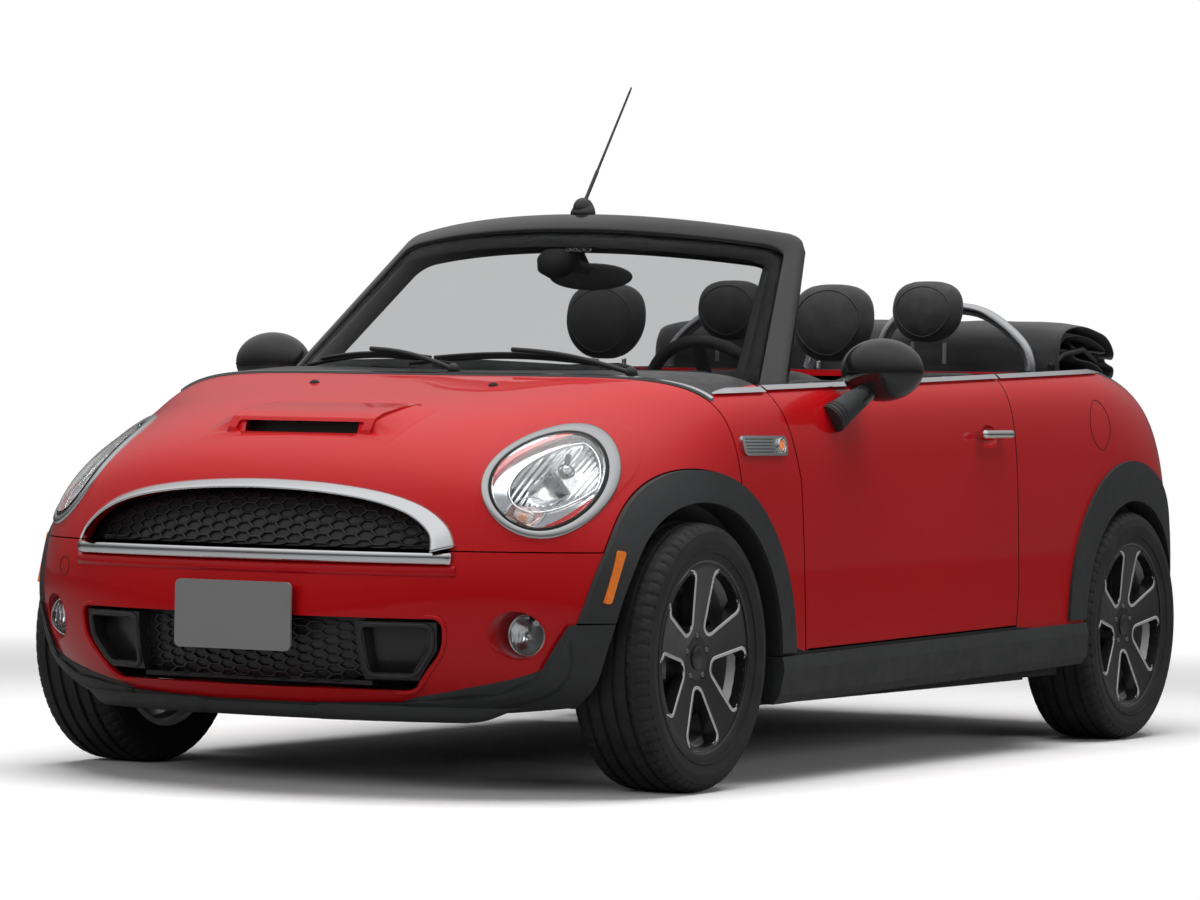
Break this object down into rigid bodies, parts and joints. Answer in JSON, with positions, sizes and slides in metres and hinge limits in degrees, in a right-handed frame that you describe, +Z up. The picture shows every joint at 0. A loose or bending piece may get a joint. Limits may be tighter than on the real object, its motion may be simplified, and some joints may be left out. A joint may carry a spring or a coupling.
{
  "type": "convertible car",
  "caption": "Small open four-seat convertible car with a folded cloth roof, opening bonnet, doors and drop-down tailgate, steered front wheels and rolling wheels.",
  "frame": {"origin": "on the ground, under the middle of the car's bounding box", "axes": "+X forward, +Y to the car's left side, +Z up"},
  "size_m": [3.769, 1.94, 1.6824],
  "materials": {
    "red_paint": "gloss clear coat",
    "black_paint": "gloss",
    "cladding": "grained",
    "black_plastic": "grained",
    "gloss_black": "gloss",
    "chrome": "polished",
    "clear_lens": "clear",
    "tinted_glass": "clear",
    "lamp_bowl": "bright",
    "amber": "bright",
    "red_lens": "gloss",
    "tyre": "matte",
    "rim_black": "satin with bright cut edges",
    "steel": "bare",
    "iron": "rough",
    "leather": "grained",
    "soft_top_cloth": "woven",
    "plate_grey": "matte",
    "satin_metal": "satin"
  },
  "bodies": {
    "chassis": {"body_shell": "red_paint", "floor_pan": "black_paint", "front_bumper": "red_paint", "front_valance": "cladding", "arch_cladding": "cladding", "sill_cladding": "cladding", "rear_bumper": "red_paint", "rear_valance": "cladding", "grille_mesh": "gloss_black", "lower_mesh": "gloss_black", "grille_bar": "chrome", "brake_ducts": "black_plastic", "fog_lamps": "lamp_bowl", "number_plate": "plate_grey", "side_markers": "amber", "side_indicators": "clear_lens", "tail_lamps": "red_lens", "cowl_panel": "black_plastic", "windscreen_frame": "black_plastic", "windscreen_glass": "tinted_glass", "interior_mirror": "black_plastic", "antenna": "black_plastic", "wipers": "black_plastic", "belt_trim": "chrome", "dashboard": "black_plastic", "front_seats": "leather", "seat_bases": "black_plastic", "rest_posts": "satin_metal", "rear_seat": "leather", "roll_hoops": "satin_metal", "soft_top": "soft_top_cloth", "engine_block": "iron", "suspension": "steel", "exhaust": "steel"},
    "bonnet": {"bonnet": "red_paint", "bonnet_trim": "chrome", "headlamps": "lamp_bowl", "headlamp_lenses": "clear_lens", "scoop_mesh": "gloss_black"},
    "door_left": {"door_left": "red_paint", "door_lining_left": "black_plastic", "door_trim_left": "chrome", "mirror_left": "gloss_black"},
    "door_right": {"door_right": "red_paint", "door_lining_right": "black_plastic", "door_trim_right": "chrome", "mirror_right": "gloss_black"},
    "tailgate": {"tailgate": "red_paint"},
    "steering_wheel": {"steering_wheel": "leather"},
    "steering_rack": {"steering_rack": "steel"},
    "knuckle_left": {"knuckle_left": "iron"},
    "knuckle_right": {"knuckle_right": "iron"},
    "wheel_front_left": {"tyre_front_left": "tyre", "rim_front_left": "rim_black"},
    "wheel_front_right": {"tyre_front_right": "tyre", "rim_front_right": "rim_black"},
    "wheel_rear_left": {"tyre_rear_left": "tyre", "rim_rear_left": "rim_black"},
    "wheel_rear_right": {"tyre_rear_right": "tyre", "rim_rear_right": "rim_black"}
  },
  "joints": [
    {"name": "bonnet_hinge", "type": "hinge", "parent": "chassis", "child": "bonnet", "pos_m": [0.8605, 0, 0.95], "axis": [0, -1, 0], "range_deg": [0, 50]},
    {"name": "door_left_hinge", "type": "hinge", "parent": "chassis", "child": "door_left", "pos_m": [0.6695, 0.82, 0.6], "axis": [0, 0, -1], "range_deg": [0, 65]},
    {"name": "door_right_hinge", "type": "hinge", "parent": "chassis", "child": "door_right", "pos_m": [0.6695, -0.82, 0.6], "axis": [0, 0, 1], "range_deg": [0, 65]},
    {"name": "tailgate_hinge", "type": "hinge", "parent": "chassis", "child": "tailgate", "pos_m": [-1.8375, 0, 0.598], "axis": [0, -1, 0], "range_deg": [0, 88]},
    {"name": "steer_left", "type": "hinge", "parent": "chassis", "child": "knuckle_left", "pos_m": [1.1745, 0.7, 0.308], "axis": [0, 0, 1], "range_deg": [-32, 32]},
    {"name": "steer_right", "type": "hinge", "parent": "chassis", "child": "knuckle_right", "pos_m": [1.1745, -0.7, 0.308], "axis": [0, 0, 1], "range_deg": [-32, 32]},
    {"name": "steering_wheel_spin", "type": "hinge", "parent": "chassis", "child": "steering_wheel", "pos_m": [0.3045, 0.37, 0.88], "axis": [-0.9063, 0, 0.4226], "range_deg": [-460, 460]},
    {"name": "rack_slide", "type": "slide", "parent": "chassis", "child": "steering_rack", "axis": [0, 1, 0], "range_m": [-0.05, 0.05]},
    {"name": "wheel_front_left_spin", "type": "hinge", "parent": "knuckle_left", "child": "wheel_front_left", "pos_m": [1.1745, 0.7265, 0.308], "axis": [0, 1, 0], "continuous": true},
    {"name": "wheel_rear_left_spin", "type": "hinge", "parent": "chassis", "child": "wheel_rear_left", "pos_m": [-1.2925, 0.7305, 0.308], "axis": [0, 1, 0], "continuous": true},
    {"name": "wheel_front_right_spin", "type": "hinge", "parent": "knuckle_right", "child": "wheel_front_right", "pos_m": [1.1745, -0.7265, 0.308], "axis": [0, 1, 0], "continuous": true},
    {"name": "wheel_rear_right_spin", "type": "hinge", "parent": "chassis", "child": "wheel_rear_right", "pos_m": [-1.2925, -0.7305, 0.308], "axis": [0, 1, 0], "continuous": true}
  ],
  "couplings": [
    {"joint": "steer_right", "follows": "steer_left", "ratio": 1},
    {"joint": "steering_wheel_spin", "follows": "steer_left", "ratio": 14},
    {"joint": "rack_slide", "follows": "steer_left", "m_per_rad": -0.084}
  ]
}
